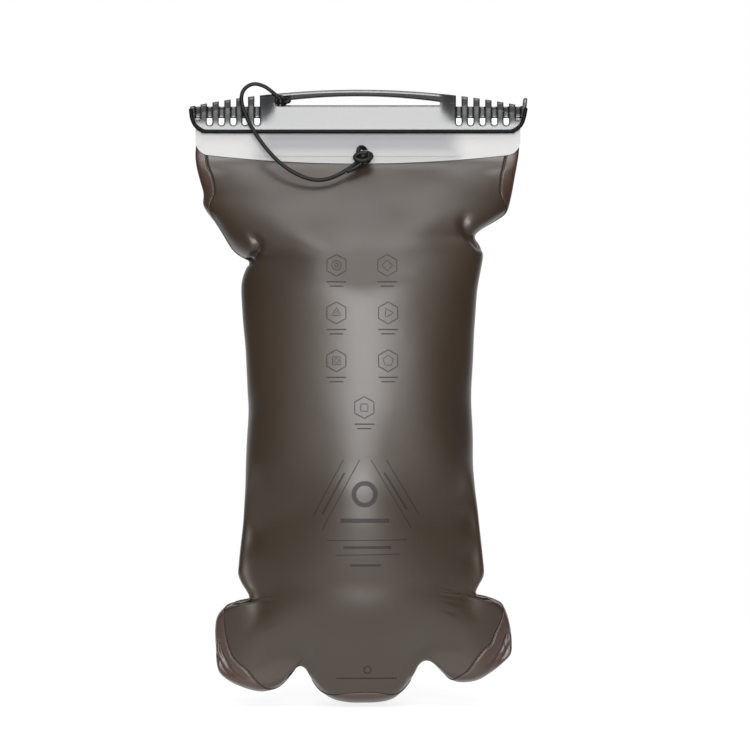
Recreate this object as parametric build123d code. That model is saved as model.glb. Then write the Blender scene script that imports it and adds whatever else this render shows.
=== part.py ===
"""Hydration bladder: a gusseted film reservoir with a slide closure, a tether and a quick-release hose port.

Millimetres. +Z is up, +X runs along the closure and the front panel faces -Y. Everything is drawn with
its lowest point at height 0, then moved so that the origin is the middle of the handle's hang slot.
"""

from build123d import *
import math
import os

# ---- Driving dimensions ------------------------------------------------------------------------

# Reservoir film
bag_height = 329.3  # base to the lip of the mouth
mouth_width = 182.8  # flat width of the mouth
body_width = 129.0  # filled width half-way up
body_depth = 74.0  # filled depth half-way up
port_depth = 70.0  # filled depth round the hose port
foot_width = 167.0  # across the two lower corners
film = 0.5  # film thickness
mouth_gap = 5.0  # free width of the mouth between the two films
notch_reach = 35.5  # centre line to each notch between the bottom lobes
notch_height = 23.0
notch_base = 36.0

# Header plates and rails
header_middle = 25.4  # plate height on the centre line
header_end = 19.8  # plate height at the ends
header_corner = 8.0
plate = 1.2
pad_width = 120.0
pad_height = 9.4
pad_drop = 11.9  # lip of the mouth to the pad's top edge
pad_rise = 0.5
rail_rise = 1.4
rail_height = 4.2
rail_end_gap = 2.0
bridge_width = 8.0
bridge_height = 3.6
bridge_rise = 3.6
bridge_wall = 1.0
tether_x = 2.5  # the bridge's place along the header
tether_drop = 20.0  # lip of the mouth to the bridge's centre

# Slide closure
slide_clearance = 0.35
wall = 1.9
lip_height = 3.2
roof_height = 6.4
bar_height = 3.6  # handle bar over the middle of the slot
hang_slot_length = 92.4
hang_slot_height = 5.2
slot_arc = 335.0  # radius of the slot's upper edge
crown_arc = 470.0  # radius of the closure's upper edge
handle_thickness = 4.2
wall_lean = 1.3  # how far the front wall leans back at the roof
closure_overhang = 3.0  # closure past the film at the open end
stop_thickness = 2.5
closure_corner = 12.0
horn_height = 11.0
horn_lean = 1.1
horn_width = 2.2
grip_slots = 6  # at each end
grip_first = 56.7
grip_pitch = 6.67
grip_width = 3.1
grip_recess = 2.6  # how deep the slots cut into the roof
grip_floor = 3.7  # underside of the closure to the slots' lower ends
grip_end_floor = 6.8  # the same for the slot nearest each end

# Tether
cord_diameter = 2.0
header_knot_radius = 3.2
closure_knot_radius = 2.6

# Hose port, on the back face
port_height = 74.0
flange_radius = 24.0
flange_thickness = 1.4
collar_radius = 17.5
collar_thickness = 1.1
barrel_radius = 13.0
barrel_inner_end = 15.0  # inside the film
nut_radius = 18.0
nut_thickness = 3.2
gasket_thickness = 1.2
head_radius = 16.0
head_thickness = 6.0
socket_radius = 6.0
socket_depth = 8.0
chamber_radius = 8.0
seal_thickness = 2.2
seal_inner_radius = 5.4
poppet_radius = 6.9
poppet_thickness = 2.0
nose_radius = 2.0
nose_height = 1.0
stem_radius = 1.5
stem_clearance = 0.06
poppet_gap = 0.1
poppet_travel = 3.0
cage_thickness = 2.2
cage_holes = 6
cage_hole_radius = 1.3
cage_hole_circle = 5.0
valve_spring_radius = 4.2
valve_wire = 0.6
valve_turns = 4
latch_thickness = 2.0
latch_width = 17.0
latch_clearance = 0.15
latch_below = 9.5  # port centre to the latch's lower end
button_height = 2.6
button_width = 12.0
button_travel = 1.5
button_clearance = 0.4  # left under the button when it is pressed
button_spring_radius = 0.75
button_wire = 0.25
button_turns = 5
button_spring_length = 4.3
fit_gap = 0.05

# ---- Sizes that follow from them ---------------------------------------------------------------

mouth_z = bag_height
mouth_depth = mouth_gap + 2 * film
film_face = mouth_depth / 2
plate_face = film_face + plate
rail_face = plate_face + rail_rise
half_mouth = mouth_width / 2
header_low = mouth_z - header_middle

cavity_half = rail_face + slide_clearance
lip_half = plate_face + slide_clearance
outer_half = cavity_half + wall
cavity_top = mouth_z + slide_clearance
roof_top = cavity_top + roof_height
lip_top = mouth_z - rail_height - slide_clearance
lip_bottom = lip_top - lip_height
slot_low = roof_top + 0.5
slot_high = slot_low + hang_slot_height
crown = slot_high + bar_height
closure_left = -half_mouth - closure_overhang
stop_face = half_mouth + slide_clearance
closure_right = stop_face + stop_thickness
handle_back = -(outer_half - wall_lean) + handle_thickness
hang_y = handle_back - handle_thickness / 2
hang_z = (slot_low + slot_high) / 2

film_back = port_depth / 2
collar_face = film_back + flange_thickness + collar_thickness
head_face = collar_face + head_thickness
socket_floor = head_face - socket_depth
barrel_end = film_back - barrel_inner_end
seal_low = socket_floor - seal_thickness
poppet_top = seal_low - poppet_gap
poppet_low = poppet_top - poppet_thickness
cage_low = barrel_end + fit_gap
cage_top = cage_low + cage_thickness
latch_y = collar_face + head_thickness / 2
latch_shoulder = head_radius - 4.0  # port centre to the top of the latch's wide part
button_low = head_radius + button_travel + button_clearance
well_low = latch_below + button_spring_length + 2 * fit_gap

# Height above the base, width, depth and gusset depth of the filled film, from the mouth down. The upper
# stations hang from the header's lower edge and the lower ones stand on the base.
neck_z = header_low - 2.0
stations = [
    (mouth_z, mouth_width, mouth_depth, 2.0),
    (neck_z, mouth_width, mouth_depth, 2.0),
    (neck_z - 12, mouth_width - 5, 20.0, 8.0),
    (neck_z - 26, mouth_width - 15, 36.0, 16.0),
    (neck_z - 40, body_width + 22, 48.0, 22.0),
    (neck_z - 52, body_width + 5, 57.0, 26.0),
    (neck_z - 64, body_width + 5, 63.0, 30.0),
    (bag_height / 2, body_width, body_depth, 36.0),
    (port_height + 28, body_width + 6, port_depth, 36.0),
    (port_height, body_width + 10, port_depth, 36.0),
    (port_height - 11, body_width + 1, port_depth, 36.0),
    (port_height - 19, foot_width - 20, port_depth, 36.0),
    (port_height - 26, foot_width - 4, port_depth, 36.0),
    (34.0, foot_width, 60.0, 34.0),
    (20.0, foot_width - 12, 46.0, 28.0),
    (8.0, foot_width - 46, 30.0, 18.0),
    (0.0, 46.0, 14.0, 8.0),
]


# ---- Helpers -----------------------------------------------------------------------------------


def slab(sketch, low_y, high_y):
    """A front-view sketch, x across and y up, given thickness between two depths."""
    return extrude(Plane.XZ.offset(-high_y) * sketch, high_y - low_y, dir=(0, -1, 0))


def bar(profile, low_x, high_x):
    """A side-view sketch, x as depth and y up, run along the closure between two places."""
    return extrude(Plane.YZ.offset(low_x) * profile, high_x - low_x, dir=(1, 0, 0))


def turned(radius, low_y, high_y):
    """A cylinder about the port's axis."""
    return slab(Pos(0, port_height) * Circle(radius), low_y, high_y)


def ring(outer, inner, low_y, high_y):
    return turned(outer, low_y, high_y) - turned(inner, low_y - 1, high_y + 1)


def spring(turns, radius, wire, length):
    """A compression coil standing on XY, its wire's outer faces at 0 and length."""
    rise = length - wire
    line = Helix(pitch=rise / turns, height=rise, radius=radius)
    return Pos(0, 0, wire / 2) * sweep((line ^ 0) * Circle(wire / 2), path=line)


# ---- Film --------------------------------------------------------------------------------------


def bag_solid(inset):
    """The filled bag as one solid, its film's faces moved in by inset."""
    sections = []
    for height, width, depth, _ in stations:
        inner_depth = depth - 2 * inset
        outline = RectangleRounded(width - 2 * inset, inner_depth, 0.49 * inner_depth)
        sections.append(Pos(0, 0, height) * outline)
    if inset:
        sections[0] = Pos(0, 0, 1) * sections[0]
        sections[-1] = Pos(0, 0, inset) * sections[-1]
    solid = loft(sections, ruled=True)
    for side in (-1, 1):
        solid -= Pos(side * notch_reach, 0) * notch(inset)
    return solid


def notch(grow):
    """The gap between two bottom lobes, its rounded top notch_height above the base."""
    half_base = notch_base / 2 + grow
    top = notch_height + grow
    outline = Polygon(
        (-half_base, -6), (half_base, -6), (3.5 + grow, top), (-3.5 - grow, top), align=None
    )
    upper = outline.vertices().sort_by(Axis.Y)[-2:]
    return slab(fillet(upper, 3.2), -body_depth, body_depth)


def gusset_band():
    """Everything between the two seam faces."""
    span = mouth_width + 40
    sections = [Pos(0, 0, z) * Rectangle(span, gusset) for z, _, _, gusset in stations]
    sections[0] = Pos(0, 0, 2) * sections[0]
    sections[-1] = Pos(0, 0, -2) * sections[-1]
    return loft(sections, ruled=True)


def film_panels():
    """Front panel, back panel and gusset, which meet face to face along their welds."""
    shell = bag_solid(0) - bag_solid(film)
    band = gusset_band()
    panels = shell - band
    front = panels & Pos(0, -body_depth, bag_height / 2) * Box(400, 2 * body_depth, 800)
    back = panels & Pos(0, body_depth, bag_height / 2) * Box(400, 2 * body_depth, 800)
    port_hole = turned(barrel_radius, film_back - 3, film_back + 3)
    return front, back - port_hole, shell & band


# ---- Header ------------------------------------------------------------------------------------


def header_outline():
    half = mouth_width / 2
    rise = header_middle - header_end
    arc = (half**2 + rise**2) / (2 * rise)
    block = Pos(0, mouth_z - header_middle / 2) * Rectangle(mouth_width, header_middle)
    outline = block & Pos(0, header_low + arc) * Circle(arc)
    lower = outline.vertices().sort_by(Axis.Y)[:2]
    return fillet(lower, header_corner)


def bridge():
    """The moulded loop that the tether is tied to, with its tunnel running across it."""
    block = Rectangle(bridge_width, bridge_height)
    tunnel = Rectangle(bridge_width - 2 * bridge_wall, 2 * bridge_height)
    place = Pos(tether_x, mouth_z - tether_drop)
    base = -plate_face - pad_rise
    solid = slab(place * block, base - bridge_rise, base + pad_rise)
    return solid - slab(place * tunnel, base - bridge_rise + bridge_wall, base)


def front_header():
    pad = Pos(0, mouth_z - pad_drop - pad_height / 2) * RectangleRounded(pad_width, pad_height, 3.5)
    body = slab(header_outline(), -plate_face, -film_face)
    return body + slab(pad, -plate_face - pad_rise, -plate_face) + bridge()


def back_header():
    return slab(header_outline(), film_face, plate_face)


def rail(side):
    """The bead along the lip of one header plate, which the closure slides on."""
    length = mouth_width - 2 * rail_end_gap
    outline = RectangleRounded(length, rail_height, 1.2)
    faces = sorted((side * plate_face, side * rail_face))
    return slab(Pos(0, mouth_z - rail_height / 2) * outline, *faces)


# ---- Slide closure -----------------------------------------------------------------------------


def closure_profile():
    """The channel's section: two walls with inward lips, the roof and the handle over the front wall."""
    lean = wall_lean * (crown - lip_bottom) / (roof_top - lip_bottom)
    outline = Polygon(
        (-outer_half, lip_bottom),
        (-outer_half + lean, crown + 2),
        (handle_back, crown + 2),
        (handle_back, roof_top),
        (outer_half, roof_top),
        (outer_half, lip_bottom),
        (lip_half, lip_bottom),
        (lip_half, lip_top),
        (cavity_half, lip_top),
        (cavity_half, cavity_top),
        (-cavity_half, cavity_top),
        (-cavity_half, lip_top),
        (-lip_half, lip_top),
        (-lip_half, lip_bottom),
        align=None,
    )
    corners = outline.vertices()
    toes = [v for v in corners if abs(abs(v.X) - outer_half) < 0.01 and v.Y < lip_top]
    outline = fillet(toes, 1.3)
    shoulder = [v for v in outline.vertices() if abs(v.X - outer_half) < 0.01 and v.Y > cavity_top]
    return fillet(shoulder, 2.0)


def closure_outline():
    """The front view: an arched upper edge and rounded lower corners."""
    length = closure_right - closure_left
    block = Pos((closure_left + closure_right) / 2, (lip_bottom + crown) / 2) * Rectangle(
        length, crown - lip_bottom
    )
    lower = block.vertices().sort_by(Axis.Y)[:2]
    return fillet(lower, closure_corner) & Pos(0, crown - crown_arc) * Circle(crown_arc)


def hang_slot_outline():
    block = Pos(0, (slot_low + slot_high) / 2) * Rectangle(hang_slot_length, hang_slot_height)
    outline = block & Pos(0, slot_high - slot_arc) * Circle(slot_arc)
    return fillet(outline.vertices(), 0.9)


def grip_slot(place, floor):
    """One open-topped slot with a round lower end, as a front view."""
    radius = grip_width / 2
    low = lip_bottom + floor + radius
    shaft = Pos(place, (low + crown + 4) / 2) * Rectangle(grip_width, crown + 4 - low)
    return shaft + Pos(place, low) * Circle(radius)


def horn():
    """The thumb tab that stands up from the closed end."""
    low = cavity_top
    top = roof_top + horn_height - roof_height
    outline = Polygon(
        (closure_right - horn_width, low),
        (closure_right, low),
        (closure_right + horn_lean, top),
        (closure_right + horn_lean - horn_width, top),
        align=None,
    )
    upper = outline.vertices().sort_by(Axis.Y)[-2:]
    return slab(fillet(upper, 0.9), -outer_half + wall_lean, outer_half - 2.2)


def slide_closure():
    body = bar(closure_profile(), closure_left, closure_right)
    section = Pos(0, (lip_bottom + roof_top) / 2) * Rectangle(
        2 * outer_half - 1, roof_top - lip_bottom - 2
    )
    body += bar(section, stop_face, closure_right)
    body &= slab(closure_outline(), -outer_half - 5, outer_half + 5)
    body -= slab(hang_slot_outline(), -outer_half - 5, outer_half + 5)
    for side in (-1, 1):
        for i in range(grip_slots):
            last = i == grip_slots - 1
            floor = grip_end_floor if last else grip_floor
            cut = grip_slot(side * (grip_first + grip_pitch * i), floor)
            body -= slab(cut, -outer_half - 5, -cavity_half + grip_recess)
            above = cut & Pos(0, roof_top + 20) * Rectangle(400, 40)
            body -= slab(above, -outer_half - 5, handle_back + 1)
    return body + horn()


# ---- Tether ------------------------------------------------------------------------------------

# The cord's route from the header knot, under the closure's front, up over its edge and down to the
# left end of the hang slot.
route = [
    (1.0, -9.8, 305.6),
    (-8.0, -12.6, 297.6),
    (-23.5, -15.0, 292.6),
    (-40.5, -15.6, 300.2),
    (-53.0, -14.6, 313.2),
    (-61.0, -13.2, 326.2),
    (-65.6, -11.8, 337.0),
    (-65.0, -11.4, 344.6),
    (-59.2, -10.8, 348.8),
    (-52.4, -10.2, 347.2),
    (-47.0, -9.6, 343.0),
    (-43.6, -8.8, 339.9),
]


def cord_radii():
    """The bend at each corner of the route, as large as its two runs allow."""
    found = []
    for before, here, after in zip(route, route[1:], route[2:]):
        arriving = Vector(*here) - Vector(*before)
        leaving = Vector(*after) - Vector(*here)
        half_turn = math.radians(arriving.get_angle(leaving) / 2)
        found.append(0.45 * min(arriving.length, leaving.length) / math.tan(half_turn))
    return found


def tether():
    line = FilletPolyline(*route, radius=cord_radii())
    start = Plane(origin=route[0], z_dir=Vector(*route[1]) - Vector(*route[0]))
    print("cord radii", [round(r, 1) for r in cord_radii()], "length", round(line.length, 1))
    return sweep(start * Circle(cord_diameter / 2), path=line)


def knot(end, inner, radius):
    """A knot at one end of the cord, flat where the cord enters it."""
    away = (Vector(*end) - Vector(*inner)).normalized()
    centre = Vector(*end) + away * (0.85 * radius)
    ball = Pos(*centre) * Sphere(radius)
    return split(ball, bisect_by=Plane(origin=end, z_dir=away), keep=Keep.TOP)


# ---- Hose port ---------------------------------------------------------------------------------


def port_flange():
    weld = ring(flange_radius, barrel_radius, film_back, film_back + flange_thickness)
    return weld + ring(collar_radius, barrel_radius, film_back + flange_thickness, collar_face)


def latch_outline(low, grow):
    """Front view of the latch plate and its neck, or of the pocket they slide in."""
    wide = Pos(0, (latch_shoulder - low) / 2) * Rectangle(latch_width + 2 * grow, latch_shoulder + low)
    neck = Pos(0, (latch_shoulder + button_low) / 2) * Rectangle(
        button_width + 2 * grow, button_low - latch_shoulder
    )
    return Pos(0, port_height) * (wide + neck)


def port_body():
    body = turned(barrel_radius, barrel_end, collar_face) + turned(head_radius, collar_face, head_face)
    body -= turned(socket_radius, socket_floor - 1, head_face + 1)
    body -= turned(chamber_radius, barrel_end - 1, socket_floor)
    pocket = latch_outline(latch_below + button_travel + latch_clearance, latch_clearance)
    well = Pos(0, port_height - well_low / 2) * Rectangle(3 * button_spring_radius, well_low)
    half = latch_thickness / 2 + latch_clearance
    return body - slab(pocket + well, latch_y - half, latch_y + half)


def release_button():
    window = Pos(0, port_height + button_travel / 2) * SlotOverall(
        2 * socket_radius + button_travel + 0.2, 2 * socket_radius + 0.1, rotation=90
    )
    latch = slab(
        latch_outline(latch_below, 0) - window,
        latch_y - latch_thickness / 2,
        latch_y + latch_thickness / 2,
    )
    button = Pos(0, port_height + button_low + button_height / 2) * RectangleRounded(
        button_width, button_height, 1.0
    )
    return latch + slab(button, collar_face + 0.4, head_face - 0.4)


def valve_poppet():
    disc = turned(poppet_radius, poppet_low, poppet_top)
    nose = turned(nose_radius, poppet_top, poppet_top + nose_height)
    stem = turned(stem_radius, cage_low - 2.5, poppet_low)
    return disc + nose + stem


def valve_cage():
    body = turned(chamber_radius - fit_gap, cage_low, cage_top)
    body -= turned(stem_radius + stem_clearance, cage_low - 1, cage_top + 1)
    for hole in PolarLocations(cage_hole_circle, cage_holes):
        sketch = Pos(0, port_height) * hole * Circle(cage_hole_radius)
        body -= slab(sketch, cage_low - 1, cage_top + 1)
    return body


def valve_spring():
    length = poppet_low - cage_top - 2 * fit_gap
    coil = spring(valve_turns, valve_spring_radius, valve_wire, length)
    return Pos(0, cage_top + fit_gap, port_height) * Rot(-90, 0, 0) * coil


def button_spring():
    coil = spring(button_turns, button_spring_radius, button_wire, button_spring_length)
    return Pos(0, latch_y, port_height - well_low + fit_gap) * coil


# ---- Every piece -------------------------------------------------------------------------------

front, back, gusset = film_panels()
pieces = {
    "front_film_panel": front,
    "back_film_panel": back,
    "gusset_film": gusset,
    "front_header_plate": front_header(),
    "back_header_plate": back_header(),
    "front_rail": rail(-1),
    "back_rail": rail(1),
    "slide_closure": slide_closure(),
    "tether_cord": tether(),
    "tether_header_knot": knot(route[0], route[1], header_knot_radius),
    "tether_closure_knot": knot(route[-1], route[-2], closure_knot_radius),
    "port_flange": port_flange(),
    "port_body": port_body(),
    "port_nut": ring(
        nut_radius,
        barrel_radius,
        film_back - film - gasket_thickness - nut_thickness,
        film_back - film - gasket_thickness,
    ),
    "port_gasket": ring(
        nut_radius, barrel_radius, film_back - film - gasket_thickness, film_back - film
    ),
    "port_seal": ring(chamber_radius, seal_inner_radius, seal_low, socket_floor),
    "valve_poppet": valve_poppet(),
    "valve_spring": valve_spring(),
    "valve_cage": valve_cage(),
    "release_button": release_button(),
    "button_spring": button_spring(),
}

os.makedirs("parts", exist_ok=True)
to_origin = Pos(0, -hang_y, -hang_z)
for name, shape in pieces.items():
    export_step(to_origin * shape, f"parts/{name}.step")
print("origin moved by", round(-hang_y, 3), round(-hang_z, 3), "crown", round(crown, 2))
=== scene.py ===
"""Hydration bladder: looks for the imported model, in metres, in the model's own frame."""

import math

import bmesh
import bpy
import numpy as np
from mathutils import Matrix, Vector
from mathutils.bvhtree import BVHTree

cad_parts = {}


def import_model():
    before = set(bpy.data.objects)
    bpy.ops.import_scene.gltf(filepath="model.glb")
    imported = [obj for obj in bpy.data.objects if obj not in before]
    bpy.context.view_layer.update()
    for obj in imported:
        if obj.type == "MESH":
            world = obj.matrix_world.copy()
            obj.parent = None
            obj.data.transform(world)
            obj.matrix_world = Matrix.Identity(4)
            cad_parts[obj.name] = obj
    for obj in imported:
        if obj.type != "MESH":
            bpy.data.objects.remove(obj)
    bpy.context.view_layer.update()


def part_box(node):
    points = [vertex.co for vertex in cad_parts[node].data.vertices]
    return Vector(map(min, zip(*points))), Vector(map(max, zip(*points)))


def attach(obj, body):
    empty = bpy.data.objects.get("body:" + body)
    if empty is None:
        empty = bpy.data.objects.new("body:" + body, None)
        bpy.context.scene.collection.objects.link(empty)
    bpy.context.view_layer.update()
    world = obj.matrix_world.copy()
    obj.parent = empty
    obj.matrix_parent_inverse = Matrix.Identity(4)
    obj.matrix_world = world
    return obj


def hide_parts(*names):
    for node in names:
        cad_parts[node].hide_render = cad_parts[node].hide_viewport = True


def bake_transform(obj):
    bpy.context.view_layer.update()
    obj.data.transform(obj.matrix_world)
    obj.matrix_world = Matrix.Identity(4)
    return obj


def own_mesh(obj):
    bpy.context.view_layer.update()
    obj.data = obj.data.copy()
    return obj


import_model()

MM = 0.001
SCENE = bpy.context.scene

# ---- Places in the frame -------------------------------------------------------------------------

BASE_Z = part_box("gusset_film")[0][2]
MID_Y = (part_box("gusset_film")[0][1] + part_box("gusset_film")[1][1]) / 2
PORT_LOW, PORT_HIGH = (Vector(c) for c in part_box("port_flange"))
PORT_X = (PORT_LOW.x + PORT_HIGH.x) / 2
PORT_Z = (PORT_LOW.z + PORT_HIGH.z) / 2
PORT_RADIUS = (PORT_HIGH.x - PORT_LOW.x) / 2


def place(x, y, z):
    """A point given in millimetres from the bag's base and middle, in the frame's metres."""
    return (x * MM, MID_Y + y * MM, BASE_Z + z * MM)


# ---- Small helpers -------------------------------------------------------------------------------


def colour(text, alpha=1.0):
    """An sRGB hex colour as linear numbers."""
    parts = [int(text[i : i + 2], 16) / 255 for i in (0, 2, 4)]
    linear = [p / 12.92 if p <= 0.04045 else ((p + 0.055) / 1.055) ** 2.4 for p in parts]
    return (*linear, alpha)


def link_object(name, mesh):
    obj = bpy.data.objects.new(name, mesh)
    SCENE.collection.objects.link(obj)
    return obj


def mesh_object(name, points, faces, smooth=True):
    mesh = bpy.data.meshes.new(name)
    mesh.from_pydata([tuple(p) for p in points], [], faces)
    mesh.polygons.foreach_set("use_smooth", [smooth] * len(mesh.polygons))
    mesh.update()
    return link_object(name, mesh)


def baked(obj):
    """The object with its modifiers applied to its mesh."""
    evaluated = obj.evaluated_get(bpy.context.evaluated_depsgraph_get())
    mesh = bpy.data.meshes.new_from_object(evaluated)
    obj.modifiers.clear()
    obj.data = mesh
    return obj


def coordinates(mesh):
    flat = np.empty(len(mesh.vertices) * 3)
    mesh.vertices.foreach_get("co", flat)
    return flat.reshape(-1, 3)


def set_coordinates(mesh, points):
    mesh.vertices.foreach_set("co", np.asarray(points).ravel())
    mesh.update()


# ---- The filled bag ------------------------------------------------------------------------------

# The bag's outline from the header's left end, down round the base and up to its right end. Each point is
# x and height in millimetres, then the seam: positive is how far inside the outline it shows on the front,
# and negative is how far the seam is tucked behind the film's swelling, from 0 to -1.
LEFT_SIDE = [
    (-90.4, 329.1, 2), (-91.0, 321.0, 3), (-91.3, 314.0, 6), (-91.7, 308.4, 7), (-90.9, 301.6, 8),
    (-89.1, 294.3, 9), (-87.0, 286.6, 9),
    (-87.5, 281.3, 8), (-84.9, 276.3, 6), (-80.1, 270.1, 5), (-73.3, 259.3, 5), (-68.8, 253.7, 3),
    (-62.9, 249.8, -0.3), (-61.2, 248.6, -1), (-63.1, 245.0, -1), (-65.2, 239.1, -1), (-66.0, 232.9, -1),
    (-65.4, 218.2, -1), (-64.0, 193.4, -1), (-63.7, 165.2, -1), (-64.3, 137.0, -1), (-64.8, 117.3, -1),
    (-65.7, 97.5, -1), (-67.1, 79.5, -1), (-67.7, 73.3, -1),
]
BASE = [
    (-67.7, 73.3, -1), (-65.7, 68.2, -1), (-63.1, 64.3, -1), (-61.1, 60.6, -1), (-61.5, 58.4, -1),
    (-64.8, 57.2, -1), (-71.0, 56.1, -0.4), (-76.1, 53.3, 8), (-79.5, 48.5, 15), (-80.6, 41.2, 18),
    (-80.1, 29.9, 21), (-79.5, 20.9, 25), (-77.0, 15.8, 27), (-70.5, 11.3, 26), (-62.0, 7.9, 20),
    (-53.6, 6.5, 13), (-46.2, 8.5, 6), (-40.0, 13.5, -0.6), (-36.1, 18.9, -1), (-32.7, 21.3, -1),
    (-29.3, 19.5, -1), (-26.5, 14.1, -0.6), (-21.4, 7.3, 4), (-14.1, 2.3, 13), (-5.6, 0.4, 18),
    (2.3, 0.2, 19), (12.4, 0.6, 18), (20.3, 2.8, 12), (25.9, 7.9, 4), (31.0, 15.2, -0.8),
    (34.4, 22.0, -1), (38.5, 24.5, -1), (42.9, 22.6, -1), (47.9, 17.5, -0.6), (53.0, 13.0, 8),
    (58.9, 11.7, 16), (67.7, 13.0, 22), (76.1, 18.0, 27), (82.9, 23.7, 29), (86.5, 28.2, 28),
    (86.8, 35.5, 25), (85.7, 44.0, 18), (83.7, 51.3, 10), (81.2, 55.8, 3), (74.4, 59.2, -0.6),
    (68.8, 60.0, -1), (66.4, 62.6, -1), (67.7, 66.0, -1), (70.5, 71.0, -1), (71.2, 73.3, -1),
]
RIGHT_SIDE = [
    (71.2, 73.3, -1), (71.0, 77.2, -1), (69.9, 89.1, -1), (68.8, 105.4, -1), (67.4, 123.5, -1),
    (66.5, 148.3, -1), (65.6, 170.8, -1), (66.2, 193.4, -1), (67.1, 215.9, -1), (68.2, 232.9, -1),
    (69.9, 245.3, -1), (70.6, 252.0, -1), (69.1, 258.2, -1), (65.7, 262.6, -1), (68.2, 265.6, -1),
    (73.3, 268.9, -0.6), (79.5, 273.2, -0.2), (84.0, 276.8, 2), (86.5, 285.8, 9), (88.2, 294.9, 9),
    (89.6, 302.8, 9), (90.6, 309.0, 8), (90.9, 314.0, 6), (90.8, 321.0, 3), (90.4, 329.1, 2),
]
# Height above the base and half depth of the swelling, with the squareness of its section.
SWELLING = [
    (73.3, 35.0, 2.3), (102.0, 35.3, 2.3), (165.0, 36.8, 2.2), (222.0, 33.5, 2.3), (240.0, 30.5, 2.6),
    (256.0, 26.0, 3.0), (272.0, 19.3, 2.9), (284.0, 13.6, 2.5), (292.0, 9.6, 2.5), (299.0, 6.0, 3.2),
    (304.0, 3.6, 7.0), (308.5, 2.9, 8.0), (316.0, 2.85, 9.0), (329.1, 2.85, 9.0),
]
SPINE_X = 2.0
FOOT_SPINE = 73.3  # height where the level sections end and the rays to the base begin
TUCK_DEPTH = 5.0
TUCK_HALF_WIDTH = 8.0
TUCK_VALLEY = 2.5
SWELL_REACH = 64.0  # how far in from the outline the film is still curving
PANEL_STEPS = 20
GUSSET_STEPS = 8
FILM_THICKNESS = 0.4 * MM


def smoothstep(low, high, value):
    """0 below low, 1 above high, and a smooth rise between them. Low may be the larger."""
    t = np.clip((value - low) / (high - low), 0, 1)
    return t * t * (3 - 2 * t)


def catmull_rom(points, per_segment):
    """A smooth line through the points, with the given number of steps in each segment."""
    points = np.array(points, float)
    padded = np.vstack([2 * points[0] - points[1], points, 2 * points[-1] - points[-2]])
    found = []
    for i in range(len(points) - 1):
        a, b, c, d = padded[i : i + 4]
        for t in np.arange(per_segment[i]) / per_segment[i]:
            t2, t3 = t * t, t * t * t
            found.append(0.5 * (
                2 * b + (c - a) * t + (2 * a - 5 * b + 4 * c - d) * t2 + (3 * b - a - 3 * c + d) * t3))
    found.append(points[-1])
    return np.array(found)


def evenly(points, step):
    """The smooth line through the points, cut into steps of about the given length."""
    lengths = [math.dist(a[:2], b[:2]) for a, b in zip(points, points[1:])]
    return catmull_rom(points, [max(1, round(length / step)) for length in lengths])


def at_heights(points, heights):
    """The smooth line through the points, taken at the given heights."""
    line = catmull_rom(points, [12] * (len(points) - 1))
    order = np.argsort(line[:, 1])
    line = line[order]
    return np.column_stack([
        np.interp(heights, line[:, 1], line[:, 0]),
        heights,
        np.interp(heights, line[:, 1], line[:, 2]),
    ])


def half_profile(edge, spine, depth, square, seam):
    """Points from the spine to the bag's mid plane, across one half, and the seam's distance along them."""
    tuck = min(1.0, max(0.0, -seam))
    lip = TUCK_HALF_WIDTH * tuck * min(1.0, depth / 20)
    inset = TUCK_DEPTH * tuck * min(1.0, depth / 20)
    reach = np.hypot(*(edge - spine))
    swell = min(reach, SWELL_REACH)
    turn = np.linspace(0, math.pi / 2, 60)
    out = reach - swell + swell * np.sin(turn) ** (2 / square)
    out[0] = 0
    deep = lip + (depth - lip) * np.cos(turn) ** (2 / square)
    back = np.linspace(0, math.pi / 2, 16)[1:]
    out = np.concatenate([out, reach - inset * (1 - np.cos(back)), [reach - inset - TUCK_VALLEY * tuck]])
    deep = np.concatenate([deep, lip * (1 - np.sin(back)) + 0.3 * tuck, [0.0]])
    along = np.concatenate([[0], np.cumsum(np.hypot(np.diff(out), np.diff(deep)))])
    rim = along[59]
    if seam > 0:
        place_of_seam = rim - seam
    else:
        place_of_seam = rim + tuck * (along[-2] - rim) * 0.92
    return out, deep, along, place_of_seam


def ray_points(edge, spine, depth, square, seam, bend):
    """One ray's points: the panel's, from the spine to the seam, then the gusset's, to the mid plane.

    Bend is how far the ray's inner part leans away from the straight line to the edge.
    """
    out, deep, along, place_of_seam = half_profile(edge, spine, depth, square, seam)
    panel = np.linspace(0, place_of_seam, PANEL_STEPS + 1)
    gusset = np.linspace(place_of_seam, along[-1], GUSSET_STEPS + 1)[1:]
    wanted = np.concatenate([panel, gusset])
    outward = (edge - spine) / max(np.hypot(*(edge - spine)), 1e-6)
    away = np.interp(wanted, along, out)
    share = away / np.hypot(*(edge - spine))
    flat = spine + away[:, None] * outward + bend * (share * (1 - smoothstep(0.4, 0.88, share)))[:, None]
    return np.column_stack([flat[:, 0], -np.interp(wanted, along, deep), flat[:, 1]])


def bag_rays():
    """Every ray round the bag, from the header's left end to its right end."""
    table = catmull_rom(SWELLING, [8] * (len(SWELLING) - 1))
    heights, depths, squares = table.T
    levels = np.linspace(LEFT_SIDE[0][1], FOOT_SPINE, 110)
    left = at_heights(LEFT_SIDE, levels)
    right = at_heights(RIGHT_SIDE, levels)[::-1]
    base = evenly(BASE, 2.2)[1:-1]
    outline = np.vstack([left, base, right])
    rays = []
    for i, (x, z, seam) in enumerate(outline):
        near = outline[max(0, i - 9) : i + 10, :2].mean(0) if z < FOOT_SPINE else (x, z)
        level = max(z, FOOT_SPINE)
        rays.append(ray_points(
            np.array([x, z]),
            np.array([SPINE_X, level if z >= FOOT_SPINE else FOOT_SPINE]),
            np.interp(level, heights, depths),
            np.interp(level, heights, squares),
            seam,
            np.array(near) - (x, z),
        ))
    return np.array(rays)


FRONT, GUSSET, BACK = 0, 1, 2


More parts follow.
